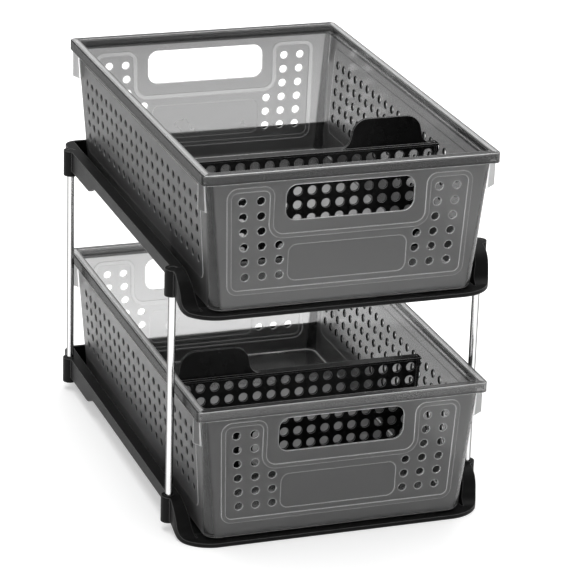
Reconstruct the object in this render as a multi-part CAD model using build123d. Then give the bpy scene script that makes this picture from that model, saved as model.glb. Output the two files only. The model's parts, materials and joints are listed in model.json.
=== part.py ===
"""Two-tier pull-out under sink organizer.

A rack of two black trays on four bright steel posts carries two smoked,
see-through baskets that slide out over the front edge of their trays.  Each
basket holds one black perforated divider that lifts straight up.

Frame: millimetres, +Z up, +X to the right seen from the front, the front at
-Y.  The origin is on the floor, under the middle of the baskets.
"""

import math
import os

from build123d import *

# Basket: overall sizes, measured over the rim
BASKET_WIDTH = 250.0
BASKET_DEPTH = 396.0
BASKET_HEIGHT = 120.2
BASKET_WALL = 2.0
BASKET_FLOOR = 2.2
BASKET_DRAFT = 3.5
RIM_OVERHANG = 4.9
RIM_THICKNESS = 2.0
RIM_LIP_HEIGHT = 8.8
RIM_LIP_WALL = 1.8
RIM_CORNER_RADIUS = 5.0
RIM_EDGE_RADIUS = 1.5
BODY_TOP_RADIUS = 6.0
BODY_BOTTOM_RADIUS = 13.0
BODY_EDGE_RADIUS = 6.0
GUSSET_THICKNESS = 1.6
GUSSET_INSET = 13.0
GUSSET_HEIGHT = 35.0
GUSSET_TOE = 4.0
CAVITY_EDGE_RADIUS = 4.0

# Basket: holes in the two long walls
HOLE_DIAMETER = 7.0
SIDE_HOLE_COLUMNS = 22
SIDE_HOLE_ROWS = 5
SIDE_HOLE_PITCH = 15.24
SIDE_HOLE_ROW_PITCH = 12.55
SIDE_HOLE_FIRST_ROW = 30.8
SIDE_PANEL_LENGTH = 342.0
SIDE_PANEL_TOP = 17.0
SIDE_PANEL_BOTTOM = 96.4
SIDE_PANEL_RADIUS = 8.0
SIDE_PANEL_RISE = 0.45

# Basket: holes, grip, border and label field of the two short walls
END_HOLE_ROWS = 6
END_HOLE_ROW_PITCH = 12.87
END_HOLE_FIRST_ROW = 26.5
END_HOLE_OUTER_X = 90.2
END_HOLE_MIDDLE_X = 74.9
END_HOLE_INNER_X = 59.9
END_HOLE_INNER_ROWS = 3
END_HOLE_FAN = 0.073
GRIP_WIDTH = 108.0
GRIP_TOP = 15.0
GRIP_HEIGHT = 30.0
GRIP_RADIUS = 9.0
BORDER_HALF_WIDTH = 103.6
BORDER_FOOT_HALF_WIDTH = 100.0
BORDER_TOP = 14.4
BORDER_BOTTOM = 105.4
BORDER_NOTCH_HALF_WIDTH = 64.0
BORDER_NOTCH_BOTTOM = 55.7
BORDER_RADIUS = 9.0
BORDER_BAND = 3.6
RELIEF_RISE = 0.7
LABEL_WIDTH = 100.0
LABEL_TOP = 65.8
LABEL_BOTTOM = 96.9
LABEL_RADIUS = 7.0
LABEL_DEPTH = 0.6

# Divider: a perforated plate under a flat top flange, with a rounded finger tab
DIVIDER_THICKNESS = 2.2
DIVIDER_TOP = 26.2
DIVIDER_FLANGE_DEPTH = 9.5
DIVIDER_FLANGE_THICKNESS = 2.0
DIVIDER_FLANGE_RADIUS = 1.5
DIVIDER_GAP = 0.45
DIVIDER_FLOOR_GAP = 0.9
DIVIDER_CORNER_RADIUS = 1.5
DIVIDER_FOOT_RADIUS = 7.0
DIVIDER_EDGE_WIDTH = 2.2
DIVIDER_EDGE_DEPTH = 5.0
DIVIDER_EAR_DIAMETER = 10.0
DIVIDER_HOLE_DIAMETER = 8.0
DIVIDER_HOLE_COLUMNS = 18
DIVIDER_HOLE_ROWS = 7
DIVIDER_HOLE_PITCH = 12.65
DIVIDER_HOLE_ROW_PITCH = 12.1
DIVIDER_HOLE_FIRST_ROW = 35.2
TAB_CENTRE_X = 70.0
TAB_WIDTH = 66.0
TAB_TOP = 1.2
TAB_RADIUS = 13.5
TAB_ROOT_RADIUS = 10.0
TAB_LEAN = 5.0
UPPER_DIVIDER_COLUMN = 5
LOWER_DIVIDER_COLUMN = 6

# Tray: a shallow pan between two raised rails, open at the front
TRAY_WIDTH = 266.0
TRAY_DEPTH = 382.0
TRAY_CORNER_RADIUS = 13.0
TRAY_FRONT_CORNER_RADIUS = 31.0
TRAY_BAND_TOP = 3.5
TRAY_PAN_TOP = 2.0
TRAY_PAN_HALF_WIDTH = 117.5
TRAY_PAN_CORNER_RADIUS = 5.0
TRAY_FRONT_BAND = 22.0
TRAY_RELIEF = 1.8
TRAY_FOOT_INNER_X = 23.5
TRAY_FOOT_OUTER_X = 112.0
TRAY_FOOT_BEVEL = 3.5
TRAY_WALL = 2.2
RAIL_TOP = 30.6
RAIL_WIDTH = 10.0
RAIL_SKIRT_BOTTOM = 20.0
RAIL_REAR_SKIRT_BOTTOM = 12.5
RAIL_REAR_SKIRT_START = 80.0
RAIL_REAR_SKIRT_RUN = 26.0
RAIL_SWEEP_START = -146.0
RAIL_SWEEP_RUN = 33.0
RAIL_SWEEP_UPPER_SHARE = 0.66
SKIRT_SWEEP_START = -152.0
SKIRT_SWEEP_RUN = 26.0
SKIRT_SWEEP_TOP = 9.0
RUNNER_WIDTH = 6.0
RUNNER_X = 88.0
RUNNER_GAP = 0.3

# Posts and the sockets that hold them
POST_DIAMETER = 6.35
POST_BORE = 4.75
POST_X = 132.0
FRONT_POST_Y = -145.0
REAR_POST_Y = 165.0
SOCKET_DIAMETER = 13.0
SOCKET_BOTTOM = 7.5
SOCKET_FLOOR = 2.5
SOCKET_CLEARANCE = 0.1
SOCKET_SLOT_RADIUS = 3.4
SOCKET_SLOT_WIDTH = 0.9
SOCKET_SLOT_DEPTH = 0.8
SOCKET_SLOT_SWEEP = 150.0

# Stack
TIER_PITCH = 198.5
BASKET_LIFT = 3.8
CUT_OVERRUN = 10.0

# Values that follow from the sizes above
BODY_HALF_WIDTH = BASKET_WIDTH / 2 - RIM_OVERHANG
BODY_HALF_DEPTH = BASKET_DEPTH / 2 - RIM_OVERHANG
DRAFT_SLOPE = math.tan(math.radians(BASKET_DRAFT))
TRAY_HALF_WIDTH = TRAY_WIDTH / 2
TRAY_FRONT_Y = -TRAY_DEPTH / 2
RAIL_DROP = RAIL_TOP - TRAY_BAND_TOP
RAIL_SWEEP_END = RAIL_SWEEP_START - RAIL_SWEEP_RUN
SKIRT_SWEEP_END = SKIRT_SWEEP_START - SKIRT_SWEEP_RUN
SOCKET_RADIUS = SOCKET_DIAMETER / 2
CEILING = RAIL_TOP - SOCKET_FLOOR
POST_LENGTH = TIER_PITCH + CEILING - SOCKET_BOTTOM - SOCKET_FLOOR
POST_PLACES = {
    "front_left": (-POST_X, FRONT_POST_Y),
    "front_right": (POST_X, FRONT_POST_Y),
    "rear_left": (-POST_X, REAR_POST_Y),
    "rear_right": (POST_X, REAR_POST_Y),
}


def inner_half_width(depth):
    """Half the clear width of the basket at a depth below the rim."""
    return BODY_HALF_WIDTH - BASKET_WALL - depth * DRAFT_SLOPE


def side_column_y(column):
    """Where a column of side holes stands along the basket."""
    return (column - (SIDE_HOLE_COLUMNS - 1) / 2) * SIDE_HOLE_PITCH


def centred(count, pitch):
    """Evenly spaced places about zero."""
    return [(index - (count - 1) / 2) * pitch for index in range(count)]


def tapered_block(grow, floor, edge_radius):
    """Solid inside the basket's drafted faces, grown sideways by a small step."""
    depth = BASKET_HEIGHT - floor
    top_radius = BODY_TOP_RADIUS + grow
    bottom_radius = BODY_BOTTOM_RADIUS + grow
    inset = depth * DRAFT_SLOPE
    top = RectangleRounded(2 * (BODY_HALF_WIDTH + grow), 2 * (BODY_HALF_DEPTH + grow), top_radius)
    bottom = RectangleRounded(
        2 * (BODY_HALF_WIDTH + grow - inset), 2 * (BODY_HALF_DEPTH + grow - inset), bottom_radius
    )
    block = loft([Pos(Z=-depth) * bottom, top], ruled=True)
    return fillet(block.edges().group_by(Axis.Z)[0], edge_radius)


def across_depth(sketch):
    """Bar along Y whose section is a sketch drawn with X across and Z up."""
    return extrude(Plane.XZ * sketch, BASKET_DEPTH / 2 + CUT_OVERRUN, both=True)


def across_width(sketch):
    """Bar along X whose section is a sketch drawn with Y across and Z up."""
    return extrude(Plane.YZ * sketch, BASKET_WIDTH / 2 + CUT_OVERRUN, both=True)


def basket_rim():
    """Flat flange around the top with a lip turned down at its outer edge."""
    outer = RectangleRounded(BASKET_WIDTH, BASKET_DEPTH, RIM_CORNER_RADIUS)
    hollow = RectangleRounded(
        BASKET_WIDTH - 2 * RIM_LIP_WALL, BASKET_DEPTH - 2 * RIM_LIP_WALL, RIM_CORNER_RADIUS - RIM_LIP_WALL
    )
    rim = extrude(outer, -RIM_LIP_HEIGHT)
    rim = fillet(rim.edges().group_by(Axis.Z)[-1], RIM_EDGE_RADIUS)
    return rim - extrude(Pos(Z=-RIM_THICKNESS) * hollow, -RIM_LIP_HEIGHT)


def gussets():
    """Four thin webs that tie the lip to the long walls near the corners."""
    root = BODY_HALF_WIDTH - GUSSET_HEIGHT * DRAFT_SLOPE - BASKET_WALL / 2
    tip = BASKET_WIDTH / 2
    outline = Polygon(
        (root, -RIM_THICKNESS),
        (tip, -RIM_THICKNESS),
        (tip, GUSSET_TOE - GUSSET_HEIGHT),
        (root, -GUSSET_HEIGHT),
        align=None,
    )
    web = extrude(Plane.XZ * outline, GUSSET_THICKNESS / 2, both=True)
    place = BASKET_DEPTH / 2 - GUSSET_INSET
    webs = [Pos(Y=y) * web for y in (-place, place)]
    return webs + [mirror(part, Plane.YZ) for part in webs]


def side_holes():
    """Grid of round holes that runs through both long walls."""
    rows = [-SIDE_HOLE_FIRST_ROW - row * SIDE_HOLE_ROW_PITCH for row in range(SIDE_HOLE_ROWS)]
    places = [(y, z) for y in centred(SIDE_HOLE_COLUMNS, SIDE_HOLE_PITCH) for z in rows]
    return across_width(Sketch() + [Pos(y, z) * Circle(HOLE_DIAMETER / 2) for y, z in places])


def end_holes():
    """Two fans of round holes at each side of the grip, through both short walls."""
    places = []
    for row in range(END_HOLE_ROWS):
        drop = row * END_HOLE_ROW_PITCH
        z = -END_HOLE_FIRST_ROW - drop
        columns = [END_HOLE_OUTER_X, END_HOLE_MIDDLE_X]
        if row >= END_HOLE_ROWS - END_HOLE_INNER_ROWS:
            columns.append(END_HOLE_INNER_X)
        for column in columns:
            x = column - drop * END_HOLE_FAN * column / END_HOLE_OUTER_X
            places += [(x, z), (-x, z)]
    return across_depth(Sketch() + [Pos(x, z) * Circle(HOLE_DIAMETER / 2) for x, z in places])


def grip_outline():
    """Rounded slot of the hand grip."""
    slot = RectangleRounded(GRIP_WIDTH, GRIP_HEIGHT, GRIP_RADIUS)
    return Pos(Y=-GRIP_TOP - GRIP_HEIGHT / 2) * slot


def border_band():
    """Closed band that dips under the grip and frames the label field."""
    corners = [
        (BORDER_NOTCH_HALF_WIDTH, -BORDER_TOP),
        (BORDER_HALF_WIDTH, -BORDER_TOP),
        (BORDER_FOOT_HALF_WIDTH, -BORDER_BOTTOM),
        (-BORDER_FOOT_HALF_WIDTH, -BORDER_BOTTOM),
        (-BORDER_HALF_WIDTH, -BORDER_TOP),
        (-BORDER_NOTCH_HALF_WIDTH, -BORDER_TOP),
        (-BORDER_NOTCH_HALF_WIDTH, -BORDER_NOTCH_BOTTOM),
        (BORDER_NOTCH_HALF_WIDTH, -BORDER_NOTCH_BOTTOM),
    ]
    field = make_face(FilletPolyline(*corners, radius=BORDER_RADIUS, close=True))
    return field - offset(field, -BORDER_BAND)


def label_outline():
    """Rounded field for a label, under the grip."""
    height = LABEL_BOTTOM - LABEL_TOP
    return Pos(Y=-LABEL_TOP - height / 2) * RectangleRounded(LABEL_WIDTH, height, LABEL_RADIUS)


def side_panel_outline():
    """Rounded field that carries the side holes."""
    height = SIDE_PANEL_BOTTOM - SIDE_PANEL_TOP
    field = RectangleRounded(SIDE_PANEL_LENGTH, height, SIDE_PANEL_RADIUS)
    return Pos(Y=-SIDE_PANEL_TOP - height / 2) * field


def basket():
    """Open basket, with its rim's top face at zero height."""
    body = tapered_block(0, 0, BODY_EDGE_RADIUS)
    border = across_depth(border_band()) & tapered_block(RELIEF_RISE, 0, BODY_EDGE_RADIUS)
    panels = across_width(side_panel_outline()) & tapered_block(SIDE_PANEL_RISE, 0, BODY_EDGE_RADIUS)
    labels = across_depth(label_outline()) - tapered_block(-LABEL_DEPTH, 0, BODY_EDGE_RADIUS)
    cavity = tapered_block(-BASKET_WALL, BASKET_FLOOR, CAVITY_EDGE_RADIUS)
    shell = basket_rim() + body + border + panels + gussets()
    shell = shell - cavity - labels - across_depth(grip_outline())
    shell = shell - side_holes() - end_holes()
    return shell


def divider_outline():
    """Plate that fits the basket's section, with a finger tab on its top edge."""
    foot_depth = BASKET_HEIGHT - BASKET_FLOOR - DIVIDER_FLOOR_GAP
    foot = inner_half_width(foot_depth) - DIVIDER_GAP
    top = inner_half_width(DIVIDER_TOP) - DIVIDER_GAP
    left = TAB_CENTRE_X - TAB_WIDTH / 2
    right = TAB_CENTRE_X + TAB_WIDTH / 2
    corners = [
        (-foot, -foot_depth, DIVIDER_FOOT_RADIUS),
        (foot, -foot_depth, DIVIDER_FOOT_RADIUS),
        (top, -DIVIDER_TOP, DIVIDER_CORNER_RADIUS),
        (right, -DIVIDER_TOP, TAB_ROOT_RADIUS),
        (right - TAB_LEAN, -TAB_TOP, TAB_RADIUS),
        (left + TAB_LEAN, -TAB_TOP, TAB_RADIUS),
        (left, -DIVIDER_TOP, TAB_ROOT_RADIUS),
        (-top, -DIVIDER_TOP, DIVIDER_CORNER_RADIUS),
    ]
    path = FilletPolyline(
        *[(x, z) for x, z, _ in corners], radius=[radius for _, _, radius in corners], close=True
    )
    return make_face(path)


def divider_edge():
    """Rib that thickens the right end of the plate where it faces the wall."""
    upper_depth = DIVIDER_TOP + DIVIDER_CORNER_RADIUS
    lower_depth = BASKET_HEIGHT - BASKET_FLOOR - DIVIDER_FLOOR_GAP - DIVIDER_FOOT_RADIUS
    upper = inner_half_width(upper_depth) - DIVIDER_GAP
    lower = inner_half_width(lower_depth) - DIVIDER_GAP
    outline = Polygon(
        (lower, -lower_depth),
        (upper, -upper_depth),
        (upper - DIVIDER_EDGE_WIDTH, -upper_depth),
        (lower - DIVIDER_EDGE_WIDTH, -lower_depth),
        align=None,
    )
    rib = extrude(Plane.XZ * outline, DIVIDER_EDGE_DEPTH / 2, both=True)
    ear_foot = SIDE_HOLE_FIRST_ROW + DIVIDER_EAR_DIAMETER / 2
    ear_face = inner_half_width(ear_foot) - DIVIDER_GAP
    ear = extrude(Plane.YZ * Circle(DIVIDER_EAR_DIAMETER / 2), -DIVIDER_EDGE_WIDTH)
    return [rib, Pos(X=ear_face, Z=-SIDE_HOLE_FIRST_ROW) * ear]


def divider_flange():
    """Right half of the flat flange along the plate's top, with a rounded end."""
    length = inner_half_width(DIVIDER_TOP + DIVIDER_FLANGE_THICKNESS) - DIVIDER_GAP
    outline = Pos(length / 2) * RectangleRounded(length, DIVIDER_FLANGE_DEPTH, DIVIDER_FLANGE_RADIUS)
    outline += Pos(length / 4) * Rectangle(length / 2, DIVIDER_FLANGE_DEPTH)
    return extrude(Pos(Z=-DIVIDER_TOP) * outline, -DIVIDER_FLANGE_THICKNESS)


def divider_holes():
    """Rows of round holes whose columns close in with the plate's drafted ends."""
    first = inner_half_width(DIVIDER_HOLE_FIRST_ROW)
    holes = Sketch()
    for row in range(DIVIDER_HOLE_ROWS):
        depth = DIVIDER_HOLE_FIRST_ROW + row * DIVIDER_HOLE_ROW_PITCH
        narrowing = inner_half_width(depth) / first
        row_places = centred(DIVIDER_HOLE_COLUMNS, DIVIDER_HOLE_PITCH * narrowing)
        holes += [Pos(x, -depth) * Circle(DIVIDER_HOLE_DIAMETER / 2) for x in row_places]
    return across_depth(holes)


def divider():
    """Perforated plate, in the same frame as the basket that holds it."""
    plate = extrude(Plane.XZ * divider_outline(), DIVIDER_THICKNESS / 2, both=True)
    right = [*divider_edge(), divider_flange()]
    left = [mirror(part, Plane.YZ) for part in right]
    return plate - divider_holes() + right + left


def ogee(start, end, share):
    """Two tangent arcs between two level lines, the first taking a share of the run."""
    middle = tuple(a + (b - a) * share for a, b in zip(start, end))
    heading = (end[0] - start[0], 0)
    first = TangentArc(start, middle, tangent=heading)
    return [first, TangentArc(middle, end, tangent=first % 1)]


def rail_crest(drop):
    """Top line of the rail seen from the side, lowered square to itself by a drop."""
    radius_sum = (RAIL_SWEEP_RUN**2 + RAIL_DROP**2) / (2 * RAIL_DROP)
    share = RAIL_SWEEP_UPPER_SHARE - drop / radius_sum
    upper = (RAIL_SWEEP_START, RAIL_TOP - drop)
    lower = (RAIL_SWEEP_END, TRAY_BAND_TOP - drop)
    rear = (-TRAY_FRONT_Y, RAIL_TOP - drop)
    front = (TRAY_FRONT_Y, TRAY_BAND_TOP - drop)
    return [Line(rear, upper), *ogee(upper, lower, share), Line(lower, front)]


def side_view_solid(lines):
    """Bar across the tray from a closed side view drawn with Y across and Z up."""
    face = make_face(Curve() + lines)
    return extrude(Plane.YZ * face, TRAY_WIDTH, both=True)


def under_crest():
    """Everything below the rail's top line."""
    front = (TRAY_FRONT_Y, TRAY_BAND_TOP)
    rear = (-TRAY_FRONT_Y, RAIL_TOP)
    closing = Polyline(front, (TRAY_FRONT_Y, 0), (-TRAY_FRONT_Y, 0), rear)
    return side_view_solid([*rail_crest(0), closing])


def crest_strip():
    """Sheet of the wall's thickness that follows the rail's top line."""
    front = TRAY_FRONT_Y
    rear = -TRAY_FRONT_Y
    front_edge = Line((front, TRAY_BAND_TOP), (front, TRAY_BAND_TOP - TRAY_WALL))
    rear_edge = Line((rear, RAIL_TOP), (rear, RAIL_TOP - TRAY_WALL))
    return side_view_solid([*rail_crest(0), front_edge, *rail_crest(TRAY_WALL), rear_edge])


def skirt_side_view():
    """Side view of the outer skirt, with its swept lower edge."""
    rear = -TRAY_FRONT_Y
    rear_sweep_end = RAIL_REAR_SKIRT_START + RAIL_REAR_SKIRT_RUN
    socket_rear = FRONT_POST_Y + SOCKET_RADIUS
    lower_edge = [
        Line((rear, RAIL_TOP), (rear, RAIL_REAR_SKIRT_BOTTOM)),
        Line((rear, RAIL_REAR_SKIRT_BOTTOM), (rear_sweep_end, RAIL_REAR_SKIRT_BOTTOM)),
        *ogee((rear_sweep_end, RAIL_REAR_SKIRT_BOTTOM), (RAIL_REAR_SKIRT_START, RAIL_SKIRT_BOTTOM), 1 / 2),
        Line((RAIL_REAR_SKIRT_START, RAIL_SKIRT_BOTTOM), (socket_rear, RAIL_SKIRT_BOTTOM)),
        Line((socket_rear, RAIL_SKIRT_BOTTOM), (socket_rear, SKIRT_SWEEP_TOP)),
        Line((socket_rear, SKIRT_SWEEP_TOP), (SKIRT_SWEEP_START, SKIRT_SWEEP_TOP)),
        *ogee((SKIRT_SWEEP_START, SKIRT_SWEEP_TOP), (SKIRT_SWEEP_END, 0), 1 / 2),
        Line((SKIRT_SWEEP_END, 0), (TRAY_FRONT_Y, 0)),
        Line((TRAY_FRONT_Y, 0), (TRAY_FRONT_Y, TRAY_BAND_TOP)),
    ]
    return side_view_solid([*rail_crest(0), *lower_edge])


def basket_bay():
    """Clear space between the leaning inner faces of the two rails."""
    lean_top = TRAY_HALF_WIDTH - RAIL_WIDTH
    outline = Polygon(
        (-TRAY_PAN_HALF_WIDTH, TRAY_PAN_TOP),
        (TRAY_PAN_HALF_WIDTH, TRAY_PAN_TOP),
        (lean_top, RAIL_TOP),
        (-lean_top, RAIL_TOP),
        align=None,
    )
    return extrude(Plane.XZ * outline, TRAY_DEPTH, both=True)


def rail_wall():
    """Leaning inner wall of the right rail, seen from the front."""
    lean_top = TRAY_HALF_WIDTH - RAIL_WIDTH
    foot = TRAY_PAN_HALF_WIDTH + TRAY_WALL
    outline = Polygon(
        (TRAY_PAN_HALF_WIDTH - TRAY_FOOT_BEVEL, 0),
        (foot - TRAY_FOOT_BEVEL, 0),
        (foot, TRAY_FOOT_BEVEL),
        (lean_top + TRAY_WALL, RAIL_TOP),
        (lean_top, RAIL_TOP),
        (TRAY_PAN_HALF_WIDTH, TRAY_PAN_TOP),
        (TRAY_PAN_HALF_WIDTH - TRAY_FOOT_BEVEL, TRAY_PAN_TOP),
        align=None,
    )
    return extrude(Plane.XZ * outline, TRAY_DEPTH / 2, both=True)


def box_between(low, high):
    """Box from its lowest to its highest corner."""
    size = [b - a for a, b in zip(low, high)]
    return Pos(*low) * Box(*size, align=(Align.MIN, Align.MIN, Align.MIN))


def tray_plan(inset):
    """Tray's outline seen from above, drawn in by an inset, wider rounded at the front."""
    half_width = TRAY_HALF_WIDTH - inset
    half_depth = TRAY_DEPTH / 2 - inset
    front = TRAY_FRONT_CORNER_RADIUS - inset
    rear = TRAY_CORNER_RADIUS - inset
    corners = [
        (-half_width, -half_depth),
        (half_width, -half_depth),
        (half_width, half_depth),
        (-half_width, half_depth),
    ]
    return make_face(FilletPolyline(*corners, radius=[front, front, rear, rear], close=True))


def tray_rails():
    """Both rails and the back wall that joins them."""
    prism = extrude(tray_plan(0), RAIL_TOP)
    ring = prism - extrude(tray_plan(TRAY_WALL), RAIL_TOP)
    strip_low = (TRAY_PAN_HALF_WIDTH, TRAY_FRONT_Y, 0)
    strip = crest_strip() & box_between(strip_low, (TRAY_HALF_WIDTH, -TRAY_FRONT_Y, RAIL_TOP))
    strip -= basket_bay()
    wall = rail_wall() & under_crest()
    right = (strip + wall) & prism
    foot = TRAY_PAN_HALF_WIDTH + TRAY_WALL
    rear = -TRAY_FRONT_Y
    back = ring & box_between((-foot, rear - TRAY_CORNER_RADIUS, 0), (foot, rear, RAIL_TOP))
    skirt = ring & skirt_side_view()
    return right + mirror(right, Plane.YZ) + back + skirt


def tray_pan():
    """Flat pan with a raised band at the front and shallow feet under it."""
    rear = -TRAY_FRONT_Y
    slab_half = TRAY_PAN_HALF_WIDTH + TRAY_WALL - TRAY_FOOT_BEVEL
    apron_rear = RAIL_SWEEP_END + TRAY_BAND_TOP
    pan_front = TRAY_FRONT_Y + TRAY_FRONT_BAND
    plan = extrude(tray_plan(0), TRAY_BAND_TOP)
    apron = plan & box_between(
        (-TRAY_HALF_WIDTH, TRAY_FRONT_Y, 0), (TRAY_HALF_WIDTH, apron_rear, TRAY_BAND_TOP)
    )
    slab = plan & box_between((-slab_half, TRAY_FRONT_Y, 0), (slab_half, rear, TRAY_BAND_TOP))
    recess_length = rear - TRAY_WALL - pan_front
    recess = RectangleRounded(2 * TRAY_PAN_HALF_WIDTH, recess_length, TRAY_PAN_CORNER_RADIUS)
    recess = extrude(Pos(0, pan_front + recess_length / 2, TRAY_PAN_TOP) * recess, RAIL_TOP)
    pan = apron + slab - recess
    for low_x, high_x in (
        (-TRAY_HALF_WIDTH, -TRAY_FOOT_OUTER_X),
        (-TRAY_FOOT_INNER_X, TRAY_FOOT_INNER_X),
        (TRAY_FOOT_OUTER_X, TRAY_HALF_WIDTH),
    ):
        pan -= box_between((low_x, TRAY_FRONT_Y, 0), (high_x, pan_front - TRAY_RELIEF, TRAY_RELIEF))
    runner_top = BASKET_LIFT - RUNNER_GAP
    for x in (-RUNNER_X, RUNNER_X):
        pan += box_between(
            (x - RUNNER_WIDTH / 2, pan_front, TRAY_PAN_TOP / 2),
            (x + RUNNER_WIDTH / 2, rear - TRAY_WALL, runner_top),
        )
    return pan


def socket_slot():
    """Shallow arc pressed into the top of a closed socket."""
    outer = Circle(SOCKET_SLOT_RADIUS + SOCKET_SLOT_WIDTH / 2)
    inner = Circle(SOCKET_SLOT_RADIUS - SOCKET_SLOT_WIDTH / 2)
    sector = make_face(
        [
            Line((0, 0), (SOCKET_RADIUS, 0)),
            CenterArc((0, 0), SOCKET_RADIUS, 0, SOCKET_SLOT_SWEEP),
            PolarLine((0, 0), SOCKET_RADIUS, SOCKET_SLOT_SWEEP),
        ]
    )
    return extrude(Pos(Z=RAIL_TOP - SOCKET_SLOT_DEPTH) * ((outer - inner) & sector), CUT_OVERRUN)


def tray(is_upper):
    """Tray on its own floor: post bores open at the top below, at the foot above."""
    body = tray_pan() + tray_rails()
    boss = Pos(Z=SOCKET_BOTTOM) * extrude(Circle(SOCKET_RADIUS), RAIL_TOP - SOCKET_BOTTOM)
    bore_radius = POST_DIAMETER / 2 + SOCKET_CLEARANCE
    bore_height = CEILING - SOCKET_BOTTOM if is_upper else RAIL_TOP - SOCKET_BOTTOM - SOCKET_FLOOR
    bore_foot = SOCKET_BOTTOM if is_upper else SOCKET_BOTTOM + SOCKET_FLOOR
    bore = Pos(Z=bore_foot) * extrude(Circle(bore_radius), bore_height)
    envelope = under_crest()
    for x, y in POST_PLACES.values():
        body += (Pos(x, y) * boss) & envelope
    for x, y in POST_PLACES.values():
        body -= Pos(x, y) * bore
        if is_upper:
            body -= Pos(x, y) * socket_slot()
    return body


def post():
    """Bright steel tube between two sockets."""
    section = Circle(POST_DIAMETER / 2) - Circle(POST_BORE / 2)
    return extrude(section, POST_LENGTH)


def build():
    """Every piece by its name, at its place in the whole organizer."""
    rim_height = BASKET_LIFT + BASKET_HEIGHT
    one_basket = basket()
    one_divider = divider()
    pieces = {
        "lower_tray": tray(False),
        "upper_tray": Pos(Z=TIER_PITCH) * tray(True),
        "lower_basket": Pos(Z=rim_height) * one_basket,
        "upper_basket": Pos(Z=TIER_PITCH + rim_height) * one_basket,
        "lower_divider": Pos(0, side_column_y(LOWER_DIVIDER_COLUMN), rim_height)
        * Rot(Z=180)
        * one_divider,
        "upper_divider": Pos(0, side_column_y(UPPER_DIVIDER_COLUMN), TIER_PITCH + rim_height)
        * one_divider,
    }
    for place, (x, y) in POST_PLACES.items():
        pieces[f"post_{place}"] = Pos(x, y, SOCKET_BOTTOM + SOCKET_FLOOR) * post()
    return pieces


os.makedirs("parts", exist_ok=True)
for name, piece in build().items():
    piece.label = name
    export_step(piece, f"parts/{name}.step")
    print(f"{name}: {piece.volume:.0f} mm3, solids {len(piece.solids())}")
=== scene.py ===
"""Studio scene of a two-tier pull-out under sink organizer.

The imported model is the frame: two black trays on four bright steel tubes, two
smoked see-through baskets and two black perforated dividers.  This script
dresses every piece in a procedural finish and sets up the floor, the studio
light and the camera.

Units are metres, +Z up, the front of the organizer at -Y.
"""

from __future__ import annotations

import json
import logging
import math
from dataclasses import dataclass, field
from enum import Enum
from typing import Any, Mapping, NamedTuple, Optional, Union

import bpy
from mathutils import Matrix, Vector

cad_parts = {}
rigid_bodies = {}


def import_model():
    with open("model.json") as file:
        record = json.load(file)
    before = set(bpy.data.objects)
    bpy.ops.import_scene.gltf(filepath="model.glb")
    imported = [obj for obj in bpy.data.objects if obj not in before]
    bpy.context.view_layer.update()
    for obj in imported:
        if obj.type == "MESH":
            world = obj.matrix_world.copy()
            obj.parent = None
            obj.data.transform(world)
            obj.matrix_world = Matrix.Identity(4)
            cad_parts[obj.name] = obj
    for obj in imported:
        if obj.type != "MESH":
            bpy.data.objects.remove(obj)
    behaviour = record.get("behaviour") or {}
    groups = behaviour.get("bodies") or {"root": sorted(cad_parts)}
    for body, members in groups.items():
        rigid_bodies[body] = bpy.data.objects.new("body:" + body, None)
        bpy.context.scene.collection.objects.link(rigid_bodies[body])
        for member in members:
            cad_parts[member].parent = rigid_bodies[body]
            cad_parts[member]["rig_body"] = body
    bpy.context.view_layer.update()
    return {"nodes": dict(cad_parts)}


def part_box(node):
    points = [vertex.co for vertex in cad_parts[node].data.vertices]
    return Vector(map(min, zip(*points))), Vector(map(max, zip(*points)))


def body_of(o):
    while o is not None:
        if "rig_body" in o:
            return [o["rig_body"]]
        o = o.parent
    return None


LOG = logging.getLogger("organizer")

BEVEL_SAMPLES = 6
Triple = tuple[float, float, float]
Span = tuple[float, float]
Operand = Union["Wire", float, Triple]


def around(centre: float, half: float) -> Span:
    """A short span with its centre here."""
    return centre - half, centre + half


class Kind(Enum):
    """The shader nodes that the finishes use, by the name Blender gives them."""

    PRINCIPLED = "ShaderNodeBsdfPrincipled"
    OUTPUT = "ShaderNodeOutputMaterial"
    WORLD_OUTPUT = "ShaderNodeOutputWorld"
    BACKGROUND = "ShaderNodeBackground"
    LIGHT_PATH = "ShaderNodeLightPath"
    LAYER_WEIGHT = "ShaderNodeLayerWeight"
    COORDINATES = "ShaderNodeTexCoord"
    GEOMETRY = "ShaderNodeNewGeometry"
    NOISE = "ShaderNodeTexNoise"
    MAP_RANGE = "ShaderNodeMapRange"
    MIX = "ShaderNodeMix"
    MIX_SHADER = "ShaderNodeMixShader"
    MATH = "ShaderNodeMath"
    VECTOR_MATH = "ShaderNodeVectorMath"
    SEPARATE = "ShaderNodeSeparateXYZ"
    BUMP = "ShaderNodeBump"
    BEVEL = "ShaderNodeBevel"


class Tier(Enum):
    """The two levels of the organizer."""

    LOWER = "lower"
    UPPER = "upper"


class Rim(NamedTuple):
    """The upper corner of a basket's box that is farthest right and back, from the frame."""

    half_width: float
    half_depth: float
    height: float


@dataclass(frozen=True)
class Noise:
    """One kind of soft noise.

    Attributes:
        scale: Grains to the metre.
        detail: How many finer layers it has.
        roughness: How strong the finer layers are.
    """

    scale: float
    detail: float = 2.0
    roughness: float = 0.5


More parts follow.
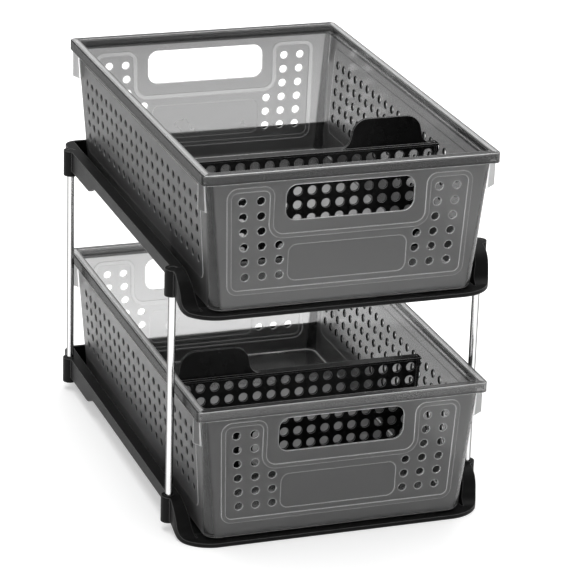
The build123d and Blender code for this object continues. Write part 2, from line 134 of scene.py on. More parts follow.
class Wire:
    """One output socket that Python's operators turn into shader maths."""

    def __init__(self, net: "Net", socket: Optional[bpy.types.NodeSocket]) -> None:
        """Keeps the socket and the net that it belongs to.

        Args:
            net: The net that new nodes are added to.
            socket: The output socket, or None where a node has no output.
        """
        self.net = net
        self.socket = socket

    @property
    def is_vector(self) -> bool:
        """Whether the socket carries three numbers."""
        return self.socket.type == "VECTOR"

    def sibling(self, name: str) -> "Wire":
        """Another output of the same node."""
        return Wire(self.net, self.socket.node.outputs[name])

    def maths(self, operation: str, *operands: Operand) -> "Wire":
        """Adds the node of one operation: Vector Math where a wire is a vector, or else Math.

        Args:
            operation: The operation, as Blender names it.
            operands: One or two operands; a vector's partner is a wire or three numbers.

        Returns:
            The node's result.
        """
        vector = any(isinstance(one, Wire) and one.is_vector for one in operands)
        kind = Kind.VECTOR_MATH if vector else Kind.MATH
        return self.net.add(kind, {"operation": operation}, dict(enumerate(operands)))

    def __add__(self, other: Operand) -> "Wire":
        """Sum."""
        return self.maths("ADD", self, other)

    def __radd__(self, other: Operand) -> "Wire":
        """Sum with the wire on the right."""
        return self.maths("ADD", other, self)

    def __sub__(self, other: Operand) -> "Wire":
        """Difference."""
        return self.maths("SUBTRACT", self, other)

    def __rsub__(self, other: Operand) -> "Wire":
        """Difference with the wire on the right."""
        return self.maths("SUBTRACT", other, self)

    def __mul__(self, other: Operand) -> "Wire":
        """Product."""
        return self.maths("MULTIPLY", self, other)

    def __rmul__(self, other: Operand) -> "Wire":
        """Product with the wire on the right."""
        return self.maths("MULTIPLY", other, self)

    def __abs__(self) -> "Wire":
        """Size without its sign."""
        return self.maths("ABSOLUTE", self)

    def root(self) -> "Wire":
        """Square root."""
        return self.maths("SQRT", self)

    def larger(self, other: Operand) -> "Wire":
        """The larger of two values."""
        return self.maths("MAXIMUM", self, other)

    def smaller(self, other: Operand) -> "Wire":
        """The smaller of two values."""
        return self.maths("MINIMUM", self, other)

    def step(self, low: float, high: float, before: float = 0.0, after: float = 1.0) -> "Wire":
        """Smooth step from one level to another.

        Args:
            low: Where the step starts.
            high: Where the step ends.
            before: The level below the start.
            after: The level above the end.

        Returns:
            The stepped value.
        """
        sockets = {
            "Value": self,
            "From Min": low,
            "From Max": high,
            "To Min": before,
            "To Max": after,
        }
        return self.net.add(Kind.MAP_RANGE, {"interpolation_type": "SMOOTHSTEP"}, sockets)

    def rise(self, span: Span) -> "Wire":
        """0 below the span and 1 above it."""
        return self.step(*span)

    def fall(self, span: Span) -> "Wire":
        """1 below the span and 0 above it."""
        return self.step(*span, 1.0, 0.0)

    def spread(self, before: float, after: float) -> "Wire":
        """The wire's span from 0 to 1 moved onto another span."""
        return self * (after - before) + before

    def blend(self, first: Operand, second: Operand) -> "Wire":
        """Mixes two colours by this wire.

        Args:
            first: The colour where the wire is 0.
            second: The colour where the wire is 1.

        Returns:
            The mixed colour.
        """
        sockets = {"Factor": self, "A": first, "B": second}
        return self.net.add(Kind.MIX, {"data_type": "RGBA"}, sockets, "Result")


class Net:
    """The nodes of one material or world."""

    def __init__(self, tree: bpy.types.NodeTree) -> None:
        """Empties the tree and keeps it.

        Args:
            tree: The node tree to fill.
        """
        self.tree = tree
        tree.nodes.clear()

    def add(
        self,
        kind: Kind,
        settings: Optional[Mapping[str, Any]] = None,
        sockets: Optional[Mapping[Union[str, int], Any]] = None,
        output: Union[str, int] = 0,
    ) -> Wire:
        """Adds a node, sets it up and fills its sockets.

        Args:
            kind: The node's type.
            settings: The node's own settings.
            sockets: A value or a wire for each named or numbered socket.
            output: The name or number of the output that is wanted.

        Returns:
            The wanted output.
        """
        node = self.tree.nodes.new(kind.value)
        for name, value in (settings or {}).items():
            setattr(node, name, value)
        for place, value in (sockets or {}).items():
            socket = self._live(node.inputs, place)
            if isinstance(value, Wire):
                self.tree.links.new(value.socket, socket)
            elif socket.type == "RGBA":
                socket.default_value = (*value, 1.0)
            else:
                socket.default_value = value
        return Wire(self, self._live(node.outputs, output))

    @staticmethod
    def _live(sockets: Any, place: Union[str, int]) -> Optional[bpy.types.NodeSocket]:
        """Finds a socket by name or number among those in use, or None if there are none."""
        live = [one for one in sockets if one.enabled]
        if isinstance(place, str):
            return next(one for one in live if one.name == place)
        return live[place] if live else None

    def place(self) -> Wire:
        """Where a point lies in the piece's own frame."""
        return self.add(Kind.COORDINATES, output="Object")

    def noise(self, at: Wire, kind: Noise) -> Wire:
        """Soft noise between 0 and 1.

        Args:
            at: Where the noise is read.
            kind: Its scale, detail and roughness.

        Returns:
            The noise.
        """
        sockets = {
            "Vector": at,
            "Scale": kind.scale,
            "Detail": kind.detail,
            "Roughness": kind.roughness,
        }
        return self.add(Kind.NOISE, {"noise_dimensions": "3D"}, sockets)

    def axes(self, vector: Wire) -> tuple[Wire, Wire, Wire]:
        """The three parts of a vector."""
        x = self.add(Kind.SEPARATE, sockets={"Vector": vector}, output="X")
        return x, x.sibling("Y"), x.sibling("Z")

    def soft_edge(self, radius: float) -> Wire:
        """The surface's direction with its sharp edges rounded."""
        return self.add(Kind.BEVEL, {"samples": BEVEL_SAMPLES}, {"Radius": radius})

    def edge_mask(self, rounded: Wire, gain: float) -> Wire:
        """How near an edge a point is, from the rounded direction.

        Args:
            rounded: The direction from soft_edge.
            gain: How quickly the mask reaches 1.

        Returns:
            1 on the edge and 0 away from it.
        """
        flat = self.add(Kind.GEOMETRY, output="Normal")
        settings = {"operation": "DOT_PRODUCT"}
        along = self.add(Kind.VECTOR_MATH, settings, {0: rounded, 1: flat}, "Value")
        return ((1.0 - along) * gain).step(0.0, 1.0)

    def bump(
        self, height: Wire, depth: float, strength: float, normal: Optional[Wire] = None
    ) -> Wire:
        """Relief from a height.

        Args:
            height: The height, from 0 to 1.
            depth: How deep the relief is.
            strength: How strongly it shows.
            normal: The direction that it is added to.

        Returns:
            The new direction.
        """
        sockets: dict[Union[str, int], Any] = {
            "Height": height,
            "Distance": depth,
            "Strength": strength,
        }
        if normal is not None:
            sockets["Normal"] = normal
        return self.add(Kind.BUMP, sockets=sockets)

    def shader(self, **sockets: Operand) -> Wire:
        """A Principled shader with these sockets."""
        named = {name.replace("_", " "): value for name, value in sockets.items()}
        return self.add(Kind.PRINCIPLED, sockets=named)

    def surface(self, **sockets: Operand) -> None:
        """Ends the material in a Principled shader with these sockets."""
        self.add(Kind.OUTPUT, sockets={"Surface": self.shader(**sockets)})


def grey(level: float) -> Triple:
    """A neutral colour of one level."""
    return (level, level, level)


def new_material(name: str) -> tuple[bpy.types.Material, Net]:
    """Makes an empty material and the net of its nodes.

    Args:
        name: The material's name.

    Returns:
        The material and its net.
    """
    material = bpy.data.materials.new(name)
    material.use_nodes = True
    return material, Net(material.node_tree)


def dress(node: bpy.types.Object, material: bpy.types.Material) -> None:
    """Gives every material slot of a piece one finish.

    Args:
        node: The piece.
        material: Its finish.
    """
    for slot in node.material_slots:
        slot.material = material


@dataclass(frozen=True)
class MouldedBlack:
    """Satin black moulded plastic of the trays."""

    name: str = "satin_black_moulding"
    level: float = 0.008
    mottle: Span = (0.8, 1.3)
    painted_edge_highlight: float = 0.20
    edge_radius: float = 0.0016
    edge_gain: float = 3.5
    edge_polish: float = 0.12
    roughness: float = 0.44
    cloud_roughness: float = 0.05
    grain_roughness: float = 0.06
    specular: float = 0.22
    cloud: Noise = Noise(38.0, detail=4.0)
    grain: Noise = Noise(2600.0, detail=3.0, roughness=0.6)
    grain_depth: float = 0.00006
    grain_strength: float = 0.5

    def make(self) -> bpy.types.Material:
        """Makes the finish: fine grain, cloudy gloss and paler edges, which are a painted
        highlight.
        """
        material, net = new_material(self.name)
        at = net.place()
        cloud = net.noise(at, self.cloud)
        grain = net.noise(at, self.grain)
        rounded = net.soft_edge(self.edge_radius)
        edge = net.edge_mask(rounded, self.edge_gain)
        low, high = (grey(share * self.level) for share in self.mottle)
        net.surface(
            # Edges blend to a pale grey: painted highlight.
            Base_Color=edge.blend(cloud.blend(low, high), grey(self.painted_edge_highlight)),
            Roughness=cloud.spread(-self.cloud_roughness, self.cloud_roughness)
            + grain * self.grain_roughness
            + self.roughness
            - edge * self.edge_polish,
            Specular_IOR_Level=self.specular,
            Normal=net.bump(grain, self.grain_depth, self.grain_strength, rounded),
        )
        return material


@dataclass(frozen=True)
class GlossBlack:
    """Glossy black moulded plastic of the dividers."""

    name: str = "gloss_black_moulding"
    level: float = 0.003
    mottle: Span = (0.8, 1.3)
    painted_edge_highlight: float = 0.34
    edge_glow: float = 0.07
    edge_radius: float = 0.0012
    edge_gain: float = 3.5
    upward: Span = (0.20, 0.50)
    roughness: float = 0.24
    cloud_roughness: Span = (-0.04, 0.05)
    grain_roughness: float = 0.04
    specular: float = 0.34
    cloud: Noise = Noise(55.0, detail=3.0)
    grain: Noise = Noise(1900.0)
    cloud_height: float = 0.8
    grain_height: float = 0.2
    relief_depth: float = 0.0003
    relief_strength: float = 0.10

    def make(self) -> bpy.types.Material:
        """Makes the finish: slight waviness, paler edges as a painted highlight, and a painted glow
        on those that face up.
        """
        material, net = new_material(self.name)
        at = net.place()
        cloud = net.noise(at, self.cloud)
        grain = net.noise(at, self.grain)
        rounded = net.soft_edge(self.edge_radius)
        edge = net.edge_mask(rounded, self.edge_gain)
        # Edges that face up glow as if they catch the top light: painted highlight.
        painted_glow = edge * net.axes(rounded)[2].rise(self.upward) * self.edge_glow
        low, high = (grey(share * self.level) for share in self.mottle)
        height = cloud * self.cloud_height + grain * self.grain_height
        net.surface(
            # Edges blend to a pale grey: painted highlight.
            Base_Color=edge.blend(cloud.blend(low, high), grey(self.painted_edge_highlight)),
            Emission_Color=painted_glow.blend(grey(0.0), grey(1.0)),
            Emission_Strength=1.0,
            Roughness=cloud.spread(*self.cloud_roughness)
            + grain * self.grain_roughness
            + self.roughness,
            Specular_IOR_Level=self.specular,
            Normal=net.bump(height, self.relief_depth, self.relief_strength, rounded),
        )
        return material


@dataclass(frozen=True)
class BrightSteel:
    """Bright drawn steel of the tubes."""

    name: str = "bright_drawn_steel"
    level: float = 0.86
    mottle: float = 0.94
    painted_side_reflection: float = 0.10
    rim_span: Span = (0.18, 0.54)
    roughness: float = 0.10
    cloud_roughness: float = 0.06
    line_roughness: float = 0.05
    cloud: Noise = Noise(60.0, detail=3.0)
    lines: Noise = Noise(3500.0)
    line_stretch: Triple = (1.0, 1.0, 0.02)
    line_depth: float = 0.00004
    line_strength: float = 0.25

    def make(self) -> bpy.types.Material:
        """Makes the finish: faint drawing lines along the tube and a painted dark reflection at its
        sides.
        """
        material, net = new_material(self.name)
        at = net.place()
        lines = net.noise(at * self.line_stretch, self.lines)
        cloud = net.noise(at, self.cloud)
        facing = net.add(Kind.LAYER_WEIGHT, output="Facing")
        drawn = cloud.blend(grey(self.mottle * self.level), grey(self.level))
        net.surface(
            # Darker where the surface turns away from the view: painted dark reflection.
            Base_Color=facing.rise(self.rim_span).blend(drawn, grey(self.painted_side_reflection)),
            Metallic=1.0,
            Roughness=cloud.spread(0.0, self.cloud_roughness)
            + lines * self.line_roughness
            + self.roughness,
            Normal=net.bump(lines, self.line_depth, self.line_strength),
        )
        return material


@dataclass(frozen=True)
class Zones:
    """Where each part of a smoked basket lies: masks from 0 to 1 and two distances.

    Attributes:
        along: The long walls, as against the end walls.
        end_front: The front wall's outer face.
        end_rear: The rear wall's outer face.
        outer: The outer faces of all walls.
        cut: The cut faces of holes and relief.
        skin: Everything no deeper in the wall than the relief.
        relief: The cut faces of the relief alone.
        side: The long walls' fields of holes.
        beyond: What stands out past the relief, such as the gussets.
        corner: The upright rounded corners.
        label: The label fields.
        foot: The lip's lower edge, which gets a painted shadow.
        top: The rim's flat top.
        crest: The rounded edge around the rim's top.
        inner: Everything further out than the long rims' inner edge.
        ridge: The painted highlight band along the long rims.
        lip_side: The lip's side faces along the long walls.
        floor: The painted pool of light on the floor behind the divider.
        heel: The rounded edge around the floor, which gets a painted highlight glow.
        depth: How far a point lies under the rim.
        outwards: How far it lies outside the walls' outer faces.
    """

    along: Wire
    end_front: Wire
    end_rear: Wire
    outer: Wire
    cut: Wire
    skin: Wire
    relief: Wire
    side: Wire
    beyond: Wire
    corner: Wire
    label: Wire
    foot: Wire
    top: Wire
    crest: Wire
    inner: Wire
    ridge: Wire
    lip_side: Wire
    floor: Wire
    heel: Wire
    depth: Wire
    outwards: Wire


@dataclass(frozen=True)
class SmokedPlastic:
    """Smoked see-through plastic of the baskets, with frosted label fields.

    A depth is measured down from the rim's top and an inset in from its outer
    edge.  A span is where a mask rises or falls, a share is a part of the tint,
    a glow is a painted highlight given out as light of the surface's own, and a
    painted-shade value is how much dark dull shader is mixed in as painted shade.
    The lengths from coarse to finest are half of what a mask's edge fades over.
    """

    name: str
    rim: Rim
    tint: float
    rim_tint: float
    front_painted_shading: float
    rear_painted_shading: float
    wall_painted_shade: float
    painted_floor_light: float

    edge_tint: float = 0.95
    side_cut_painted_shade: float = 0.05
    side_ring_tint: float = 0.35
    side_top_painted_highlight: float = 0.62
    shadow_tint: float = 0.04
    gusset_tint: float = 0.45
    side_painted_shade: float = 0.80
    corner_painted_shade: float = 0.35
    lip_foot_painted_shadow: float = 0.35
    end_top_painted_shade: float = 0.50
    mottle: float = 0.25
    mottle_share: float = 0.80
    label_haze: float = 0.50
    label_share: float = 1.15
    rear_band_painted_highlight: float = 0.45
    front_band_painted_highlight: float = 0.08
    edge_highlight_paint: float = 0.60
    side_edge_share: float = 0.50
    crest_highlight_paint: float = 0.40

    edge_glow: float = 0.13
    relief_glow: float = 0.12
    crest_glow: float = 0.20
    ridge_glow: float = 0.16
    heel_glow: float = 0.10
    side_glow_share: float = 0.12

    painted_shade_level: float = 0.02
    matte_roughness: float = 0.80
    lip_painted_shade: float = 0.62
    side_hole_painted_shade: float = 0.90
    painted_floor_light_share: float = 0.36

    gloss_roughness: float = 0.13
    frosted_roughness: float = 0.36
    label_roughness: float = 0.50
    roughness_swing: float = 0.02
    clear_share: float = 0.84
    refraction: float = 1.49
    cloud: Noise = Noise(22.0, detail=4.0)
    grain: Noise = Noise(2200.0)
    grain_depth: float = 0.00004
    grain_strength: float = 0.25
    edge_radius: float = 0.0011
    edge_gain: float = 10.0

    rim_overhang: float = 0.0049
    wall_thickness: float = 0.0020
    draft_slope: float = math.tan(math.radians(3.5))
    shade_span: Span = (-0.01, 0.085)
    top_span: Span = (0.0010, 0.0016)
    crest_span: Span = (0.0018, 0.0022)
    foot_span: Span = (0.0066, 0.0074)
    lip_height: float = 0.0092
    lip_inset_span: Span = (0.0006, 0.0012)
    ridge_inset_span: Span = (0.0018, 0.0034)
    inner_inset: float = 0.0060
    cut_depth: float = 0.1050
    floor_depth_span: Span = (0.1050, 0.1070)
    field_inset: float = 0.0315
    field_top: float = 0.0200
    field_bottom: float = 0.0930
    relief_drop: float = 0.0007
    relief_rise: float = 0.0010
    relief_blend: float = 0.0002
    band_span: Span = (0.0002, 0.0005)
    floor_front_span: Span = (-0.080, -0.020)
    floor_rear_span: Span = (0.090, 0.150)
    label_half_width: float = 0.0500
    label_top: float = 0.0658
    label_bottom: float = 0.0969
    label_radius: float = 0.0070

    cut_facing: Span = (0.40, 0.65)
    corner_facing: Span = (0.20, 0.40)
    crest_slant: Span = (0.30, 0.50)
    crest_flat: Span = (0.80, 0.92)
    heel_slant: Span = (0.55, 0.68)
    heel_flat: Span = (0.72, 0.85)
    floor_facing: Span = (0.90, 0.98)
    coarse: float = 0.0010
    fine: float = 0.0005
    finer: float = 0.0004
    finest: float = 0.0003

    def label_mask(self, x: Wire, depth: Wire) -> Wire:
        """1 inside the rounded label fields of both end walls.

        Args:
            x: Where a point lies across the basket.
            depth: How far it lies under the rim.

        Returns:
            The mask.
        """
        centre = (self.label_top + self.label_bottom) / 2
        half_height = (self.label_bottom - self.label_top) / 2
        over_x = (abs(x) - (self.label_half_width - self.label_radius)).larger(0.0)
        over_z = (abs(depth - centre) - (half_height - self.label_radius)).larger(0.0)
        reach = (over_x * over_x + over_z * over_z).root()
        return reach.fall(around(self.label_radius, self.finest))

    def outwards(self, x: Wire, y: Wire, depth: Wire) -> Wire:
        """How far a point lies outside the drafted walls' outer faces.

        Args:
            x: Where a point lies across the basket.
            y: Where it lies along the basket.
            depth: How far it lies under the rim.

        Returns:
            The distance, negative inside the wall.
        """
        half_width = self.rim.half_width - self.rim_overhang
        half_depth = self.rim.half_depth - self.rim_overhang
        reach = (abs(x) - half_width).larger(abs(y) - half_depth)
        return reach + depth * self.draft_slope

    def side_field(self, y: Wire, depth: Wire) -> Wire:
        """1 in the fields of the long walls that carry the rows of holes.

        Args:
            y: Where a point lies along the basket.
            depth: How far it lies under the rim.

        Returns:
            The mask.
        """
        length = abs(y).fall(around(self.rim.half_depth - self.field_inset, self.coarse))
        below_top = depth.rise(around(self.field_top, self.fine))
        return length * below_top * depth.fall(around(self.field_bottom, self.fine))

    def below_lip(self, depth: Wire) -> Wire:
        """1 under the rim's lip and 0 above."""
        return depth.rise(around(self.lip_height, self.fine))

    def long_side(self, x: Wire, y: Wire) -> Wire:
        """1 towards the long walls and 0 towards the end walls, split at the corners.

        Args:
            x: Where a point lies across the basket.
            y: Where it lies along the basket.

        Returns:
            The mask.
        """
        lead = abs(x) - abs(y) + (self.rim.half_depth - self.rim.half_width)
        return lead.rise(around(0.0, self.coarse))

    def cut_mask(self, facing: tuple[Wire, Wire, Wire], along: Wire, depth: Wire) -> Wire:
        """1 on the cut faces of holes and relief.

        Args:
            facing: The three parts of the surface's direction.
            along: The mask of the long walls.
            depth: How far a point lies under the rim.

        Returns:
            The mask.
        """
        across = along * abs(facing[0]) + (1.0 - along) * abs(facing[1])
        above_floor = depth.fall(around(self.cut_depth, self.coarse))
        return across.fall(self.cut_facing) * self.below_lip(depth) * above_floor

    def painted_floor_light_mask(self, facing_up: Wire, y: Wire, depth: Wire) -> Wire:
        """1 on the painted pool of light on the floor behind the divider, fading out around it.

        Args:
            facing_up: How far the surface faces up.
            y: Where a point lies along the basket.
            depth: How far it lies under the rim.

        Returns:
            The mask.
        """
        level = depth.rise(self.floor_depth_span) * facing_up.rise(self.floor_facing)
        return level * y.rise(self.floor_front_span) * y.fall(self.floor_rear_span)

    def zones(self, net: Net, at: Wire) -> Zones:
        """Works out where each part of the basket lies.

        Args:
            net: The material's nodes.
            at: Where a point lies in the basket's frame.

        Returns:
            The masks and distances.
        """
        x, y, z = net.axes(at)
        facing = net.axes(net.add(Kind.GEOMETRY, output="Normal"))
        slant = abs(facing[2])
        depth = self.rim.height - z
        inset = self.rim.half_width - abs(x)
        outwards = self.outwards(x, y, depth)
        along = self.long_side(x, y)
        below = self.below_lip(depth)
        outer = (outwards + self.wall_thickness / 2).rise(around(0.0, self.finer)) * below
        end = outer * (1.0 - along)
        cut = self.cut_mask(facing, along, depth)
        skin = outwards.rise((-self.relief_drop, -self.relief_drop + self.relief_blend))
        proud = (self.relief_rise, self.relief_rise + self.relief_blend)
        side = along * self.side_field(y, depth)
        relief = cut * skin * outwards.fall(proud)
        lip = depth.fall((self.lip_height, self.lip_height + self.fine))
        top = depth.fall(self.top_span)
        inner = inset.fall(around(self.inner_inset, self.finer))
        crest = slant.rise(self.crest_slant) * slant.fall(self.crest_flat)
        heel = slant.rise(self.heel_slant) * slant.fall(self.heel_flat)
        return Zones(
            along=along,
            end_front=end * y.fall(around(0.0, self.coarse)),
            end_rear=end * y.rise(around(0.0, self.coarse)),
            outer=outer,
            cut=cut,
            skin=skin,
            relief=relief * side.spread(1.0, self.side_glow_share),
            side=side,
            beyond=outwards.rise(proud) * below,
            corner=abs(facing[0]).smaller(abs(facing[1])).rise(self.corner_facing) * below,
            label=self.label_mask(x, depth),
            foot=depth.rise(self.foot_span) * (1.0 - below),
            top=top,
            crest=crest * depth.fall(self.crest_span),
            inner=inner,
            ridge=top * along * inner * inset.rise(self.ridge_inset_span),
            lip_side=inset.fall(self.lip_inset_span) * lip,
            floor=self.painted_floor_light_mask(facing[2], y, depth),
            heel=depth.rise(self.floor_depth_span) * heel,
            depth=depth,
            outwards=outwards,
        )

    def colour(self, zones: Zones, edge: Wire, cloud: Wire) -> Wire:
        """The colour that the clear plastic lets through, with painted light and shade laid into
        it.

        Args:
            zones: Where each part of the basket lies.
            edge: The mask of the edges.
            cloud: Soft noise.

        Returns:
            The colour.
        """
        body = zones.depth.rise(self.shade_span).blend(grey(self.rim_tint), grey(self.tint))
        mottled = (cloud * self.mottle).blend(body, grey(self.mottle_share * self.tint))
        frosted = (zones.label * self.label_haze).blend(mottled, grey(self.label_share * self.tint))
        # Long walls' outer faces darker, and front and rear walls lighter or darker: painted light
        # and shade on each face.
        sided = (zones.outer * zones.along).blend(frosted, grey(self.side_painted_shade * self.tint))
        fronted = zones.end_front.blend(sided, grey(self.front_painted_shading * self.tint))
        reared = zones.end_rear.blend(fronted, grey(self.rear_painted_shading * self.tint))
        # Border bands on the end walls pale: painted highlight.
        band_highlights = zones.end_front * self.front_band_painted_highlight + zones.end_rear * self.rear_band_painted_highlight
        banded = (zones.outwards.rise(self.band_span) * band_highlights).blend(reared, grey(self.edge_tint))
        # Upright rounded corners darker: painted shade.
        cornered = zones.corner.blend(banded, grey(self.corner_painted_shade * self.tint))
        # Lip's lower edge darker: painted shadow under the lip.
        footed = zones.foot.blend(cornered, grey(self.lip_foot_painted_shadow * self.rim_tint))
        # Rim's flat top: lighter along the long walls as painted highlight, darker on the end walls
        # as painted shade.
        end_top = grey(self.end_top_painted_shade * self.rim_tint)
        flange = zones.along.blend(end_top, grey(self.side_top_painted_highlight))
        topped = zones.top.blend(footed, flange)
        shadow = (zones.crest * zones.along).larger(zones.top * zones.along * (1.0 - zones.inner))
        shaded = shadow.blend(topped, grey(self.shadow_tint))
        # Cut faces of the side holes dark as painted shade, paler at the surface ring; other cut
        # faces pale as painted highlight.
        ring = zones.skin.blend(grey(self.side_cut_painted_shade), grey(self.side_ring_tint))
        bright = zones.side.blend(grey(self.edge_tint), ring)
        solid = zones.beyond.blend(zones.cut.blend(shaded, bright), grey(self.gusset_tint))
        # Edges and the end walls' rim crests pale: painted highlight.
        edges = edge * self.edge_highlight_paint * zones.side.spread(1.0, self.side_edge_share)
        crests = zones.crest * (1.0 - zones.along) * self.crest_highlight_paint
        return edges.larger(crests).blend(solid, grey(self.edge_tint))

    def glow(self, zones: Zones, edge: Wire) -> Wire:
        """How strongly edges, relief lines, crests, the rim ridge and the floor's edge glow:
        painted highlights given out as light of the surface's own.

        Args:
            zones: Where each part of the basket lies.
            edge: The mask of the edges.

        Returns:
            The level.
        """
        # Emission on edges, relief, crests, the rim ridge and the floor's edge: painted highlight
        # glow.
        edges = edge * zones.side.spread(1.0, self.side_glow_share) * self.edge_glow
        crests = zones.crest * (1.0 - zones.along) * self.crest_glow
        painted_glow = edges.larger(zones.relief * self.relief_glow).larger(crests)
        return painted_glow.larger(zones.ridge * self.ridge_glow).larger(zones.heel * self.heel_glow)

    def painted_light_and_shade_share(self, zones: Zones) -> Wire:
        """How much of the surface is a dull shader instead of clear: dark on the long walls, lip
        sides and side-hole cuts as painted shade, pale on the floor patch as painted light.

        Args:
            zones: Where each part of the basket lies.

        Returns:
            The share.
        """
        # Dark dull shader on the long walls, lip sides and side-hole cuts: painted shade.
        walls = zones.outer * zones.along * self.wall_painted_shade
        walls = walls.larger(zones.lip_side * self.lip_painted_shade)
        faces = walls * (1.0 - zones.cut) * (1.0 - zones.beyond)
        holes = zones.cut * zones.side * (1.0 - zones.skin) * self.side_hole_painted_shade
        # Pale dull shader on the floor behind the divider: painted pool of light.
        return faces.larger(holes).larger(zones.floor * self.painted_floor_light_share)

    def make(self) -> bpy.types.Material:
        """Makes the finish: tinted clear body, frosted outer faces, painted highlights that glow on
        edges, and a dull shader mixed in as painted shade and painted light.
        """
        material, net = new_material(self.name)
        at = net.place()
        zones = self.zones(net, at)
        cloud = net.noise(at, self.cloud)
        grain = net.noise(at, self.grain)
        rounded = net.soft_edge(self.edge_radius)
        edge = net.edge_mask(rounded, self.edge_gain)
        clear = net.shader(
            Base_Color=self.colour(zones, edge, cloud),
            Roughness=zones.outer.spread(self.gloss_roughness, self.frosted_roughness)
            + zones.label * (self.label_roughness - self.frosted_roughness)
            + cloud.spread(-self.roughness_swing, self.roughness_swing),
            IOR=self.refraction,
            Transmission_Weight=self.clear_share,
            Emission_Color=self.glow(zones, edge).blend(grey(0.0), grey(1.0)),
            Emission_Strength=1.0,
            Normal=net.bump(grain, self.grain_depth, self.grain_strength, rounded),
        )
        # Dull shader colour: dark as painted shade, pale on the floor patch behind the divider as
        # painted light.
        painted_dull_colour = zones.floor.blend(grey(self.painted_shade_level), grey(self.painted_floor_light))
        dull = net.shader(Base_Color=painted_dull_colour, Roughness=self.matte_roughness, Specular_IOR_Level=0.0)
        mixed = net.add(Kind.MIX_SHADER, sockets={0: self.painted_light_and_shade_share(zones), 1: clear, 2: dull})
        net.add(Kind.OUTPUT, sockets={"Surface": mixed})
        return material


@dataclass(frozen=True)
class PaleFloor:
    """Plain pale studio floor."""

    name: str = "pale_studio_floor"
    level: float = 0.72
    mottle: float = 0.01
    glow: float = 0.38
    roughness: Span = (0.62, 0.70)
    specular: float = 0.2
    cloud: Noise = Noise(3.0, detail=3.0)

    def make(self) -> bpy.types.Material:
        """Makes the finish: lit white acrylic with the faintest mottling."""
        material, net = new_material(self.name)
        at = net.place()
        cloud = net.noise(at, self.cloud)
        low, high = (grey(level) for level in around(self.level, self.mottle))
        net.surface(
            Base_Color=cloud.blend(low, high),
            Roughness=cloud.spread(*self.roughness),
            Specular_IOR_Level=self.specular,
            Emission_Color=grey(1.0),
            Emission_Strength=self.glow,
        )
        return material


@dataclass
class Rack:
    """The two trays and the four tubes between them."""

    tray_finish: MouldedBlack = field(default_factory=MouldedBlack)
    tube_finish: BrightSteel = field(default_factory=BrightSteel)
    corners: tuple[str, ...] = ("front_left", "front_right", "rear_left", "rear_right")

    def build(self, nodes: Mapping[str, bpy.types.Object]) -> list[bpy.types.Object]:
        """Dresses the trays and the tubes.

        Args:
            nodes: The model's pieces by name.

        Returns:
            The pieces that were dressed.
        """
        satin = self.tray_finish.make()
        bright = self.tube_finish.make()
        trays = [nodes[f"{tier.value}_tray"] for tier in Tier]
        tubes = [nodes[f"post_{corner}"] for corner in self.corners]
        for tray in trays:
            dress(tray, satin)
        for tube in tubes:
            dress(tube, bright)
        return trays + tubes


@dataclass
class PullOut:
    """One smoked basket and the divider in it."""

    tier: Tier
    rim: Rim
    tint: float
    rim_tint: float
    front_painted_shading: float
    rear_painted_shading: float
    wall_painted_shade: float
    painted_floor_light: float
    divider_finish: GlossBlack = field(default_factory=GlossBlack)

    def build(self, nodes: Mapping[str, bpy.types.Object]) -> list[bpy.types.Object]:
        """Dresses the basket and its divider.

        Args:
            nodes: The model's pieces by name.

        Returns:
            The pieces that were dressed.
        """
        basket = nodes[f"{self.tier.value}_basket"]
        divider = nodes[f"{self.tier.value}_divider"]
        smoked = SmokedPlastic(
            name=f"smoked_plastic_{self.tier.value}",
            rim=self.rim,
            tint=self.tint,
            rim_tint=self.rim_tint,
            front_painted_shading=self.front_painted_shading,
            rear_painted_shading=self.rear_painted_shading,
            wall_painted_shade=self.wall_painted_shade,
            painted_floor_light=self.painted_floor_light,
        )
        dress(basket, smoked.make())
        dress(divider, self.divider_finish.make())
        return [basket, divider]


@dataclass(frozen=True)
class Softbox:
    """One rectangular studio light that faces the organizer."""

    name: str
    place: Triple
    width: float
    height: float
    power: float
    target: Triple = (0.0, 0.0, 0.15)
    shows_in_gloss: bool = True

    def build(self) -> bpy.types.Object:
        """Hangs the light and turns it to its target.

        Returns:
            The light.
        """
        lamp = bpy.data.lights.new(self.name, "AREA")
        lamp.shape = "RECTANGLE"
        lamp.size = self.width
        lamp.size_y = self.height
        lamp.energy = self.power
        light = bpy.data.objects.new(self.name, lamp)
        light.location = self.place
        light.visible_glossy = self.shows_in_gloss
        light.visible_transmission = self.shows_in_gloss
        beam = Vector(self.target) - Vector(self.place)
        light.rotation_euler = beam.to_track_quat("-Z", "Y").to_euler()
        bpy.context.scene.collection.objects.link(light)
        return light


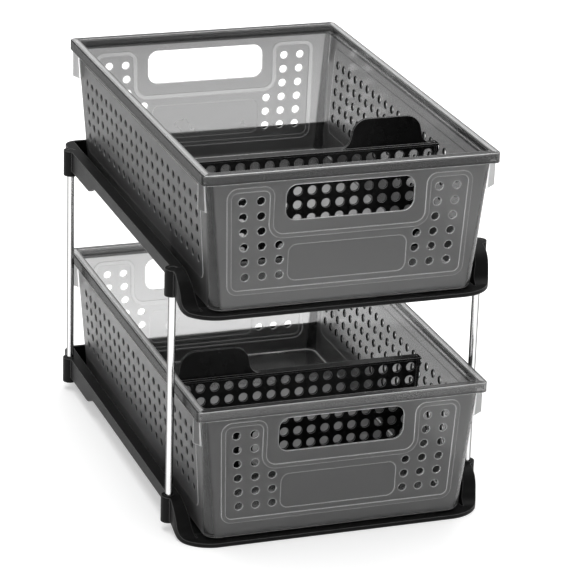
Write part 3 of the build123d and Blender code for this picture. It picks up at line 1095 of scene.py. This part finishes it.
@dataclass
class Studio:
    """Floor, surrounding light and softboxes."""

    floor_half: float = 6.0
    floor_drop: float = 0.0002
    backdrop: float = 1.05
    fill: float = 0.14
    rear_gain: float = 0.30
    top_gain: float = 0.45
    softboxes: tuple[Softbox, ...] = (
        Softbox("overhead_softbox", (0.0, 0.1, 1.7), width=1.5, height=1.5, power=19.0),
        Softbox("front_softbox", (-0.9, -1.9, 1.0), width=0.9, height=0.9, power=2.0),
        Softbox(
            "rear_softbox",
            (0.8, 1.4, 0.9),
            width=0.8,
            height=0.5,
            power=10.0,
            target=(0.38, 0.70, 0.0),
            shows_in_gloss=False,
        ),
    )

    def build(self) -> None:
        """Lays the floor, lights the world and hangs the softboxes."""
        self._floor()
        self._world()
        for softbox in self.softboxes:
            softbox.build()

    def _floor(self) -> None:
        """Lays the pale floor."""
        half = self.floor_half
        mesh = bpy.data.meshes.new("studio_floor")
        square = ((-half, -half), (half, -half), (half, half), (-half, half))
        corners = [(x, y, -self.floor_drop) for x, y in square]
        mesh.from_pydata(corners, [], [(0, 1, 2, 3)])
        mesh.materials.append(PaleFloor().make())
        floor = bpy.data.objects.new("studio_floor", mesh)
        bpy.context.scene.collection.objects.link(floor)

    def _world(self) -> None:
        """Makes a white surround that lights more from behind and above."""
        world = bpy.data.worlds.new("studio_surround")
        world.use_nodes = True
        bpy.context.scene.world = world
        net = Net(world.node_tree)
        _, y, z = net.axes(net.add(Kind.COORDINATES, output="Generated"))
        level = y.larger(0.0) * self.rear_gain + z.larger(0.0) * self.top_gain + self.fill
        camera_ray = net.add(Kind.LIGHT_PATH, output="Is Camera Ray")
        seen = camera_ray.larger(camera_ray.sibling("Is Transmission Ray"))
        strength = seen * self.backdrop + (1.0 - seen) * level
        shader = net.add(Kind.BACKGROUND, sockets={"Color": grey(1.0), "Strength": strength})
        net.add(Kind.WORLD_OUTPUT, sockets={"Surface": shader})


@dataclass
class Viewpoint:
    """Camera at the photograph's angle; the frame is taken as 580 pixels square."""

    azimuth: float = math.radians(-19.996)
    elevation: float = math.radians(20.719)
    roll: float = math.radians(1.946)
    distance: float = 2.5620
    focal_pixels: float = 2951.4
    frame_pixels: float = 580.0
    centre_pixels: tuple[float, float] = (303.31, 287.70)
    aim: Triple = (0.03212, 0.0, 0.14310)
    sensor: float = 36.0
    reach: float = 50.0

    def build(self) -> bpy.types.Object:
        """Places the camera and makes it the scene's own.

        Returns:
            The camera.
        """
        ahead = Vector(
            (
                -math.sin(self.azimuth) * math.cos(self.elevation),
                math.cos(self.azimuth) * math.cos(self.elevation),
                -math.sin(self.elevation),
            )
        )
        level = Vector((math.cos(self.azimuth), math.sin(self.azimuth), 0.0))
        upright = level.cross(ahead)
        right = level * math.cos(self.roll) + upright * math.sin(self.roll)
        above = upright * math.cos(self.roll) - level * math.sin(self.roll)
        lens = bpy.data.cameras.new("photo_camera")
        lens.sensor_width = self.sensor
        lens.lens = self.focal_pixels / self.frame_pixels * self.sensor
        lens.shift_x = (self.frame_pixels / 2 - self.centre_pixels[0]) / self.frame_pixels
        lens.shift_y = (self.centre_pixels[1] - self.frame_pixels / 2) / self.frame_pixels
        lens.dof.use_dof = False
        lens.clip_end = self.reach
        camera = bpy.data.objects.new("photo_camera", lens)
        turn = Matrix((right, above, -ahead)).transposed().to_4x4()
        camera.matrix_world = Matrix.Translation(Vector(self.aim) - ahead * self.distance) @ turn
        bpy.context.scene.collection.objects.link(camera)
        bpy.context.scene.camera = camera
        return camera


def main() -> None:
    """Loads the frame, builds every sub-assembly and sets up the studio."""
    logging.basicConfig(level=logging.INFO, format="%(name)s: %(message)s")
    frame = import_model()
    nodes = frame["nodes"]
    lower_rim = Rim(*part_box("lower_basket")[1])
    upper_rim = Rim(*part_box("upper_basket")[1])
    Viewpoint().build()
    parts = [
        Rack(),
        PullOut(
            Tier.LOWER,
            lower_rim,
            tint=0.72,
            rim_tint=0.42,
            front_painted_shading=0.50,
            rear_painted_shading=1.05,
            wall_painted_shade=0.19,
            painted_floor_light=1.0,
        ),
        PullOut(
            Tier.UPPER,
            upper_rim,
            tint=0.48,
            rim_tint=0.24,
            front_painted_shading=0.95,
            rear_painted_shading=0.74,
            wall_painted_shade=0.28,
            painted_floor_light=0.54,
        ),
    ]
    for part in parts:
        for piece in part.build(nodes):
            LOG.info("%s: %s rides on %s", type(part).__name__, piece.name, body_of(piece))
    Studio().build()
    bpy.context.scene.view_settings.view_transform = "Standard"
    bpy.context.scene.view_settings.look = "Medium High Contrast"


if __name__ == "__main__":
    main()
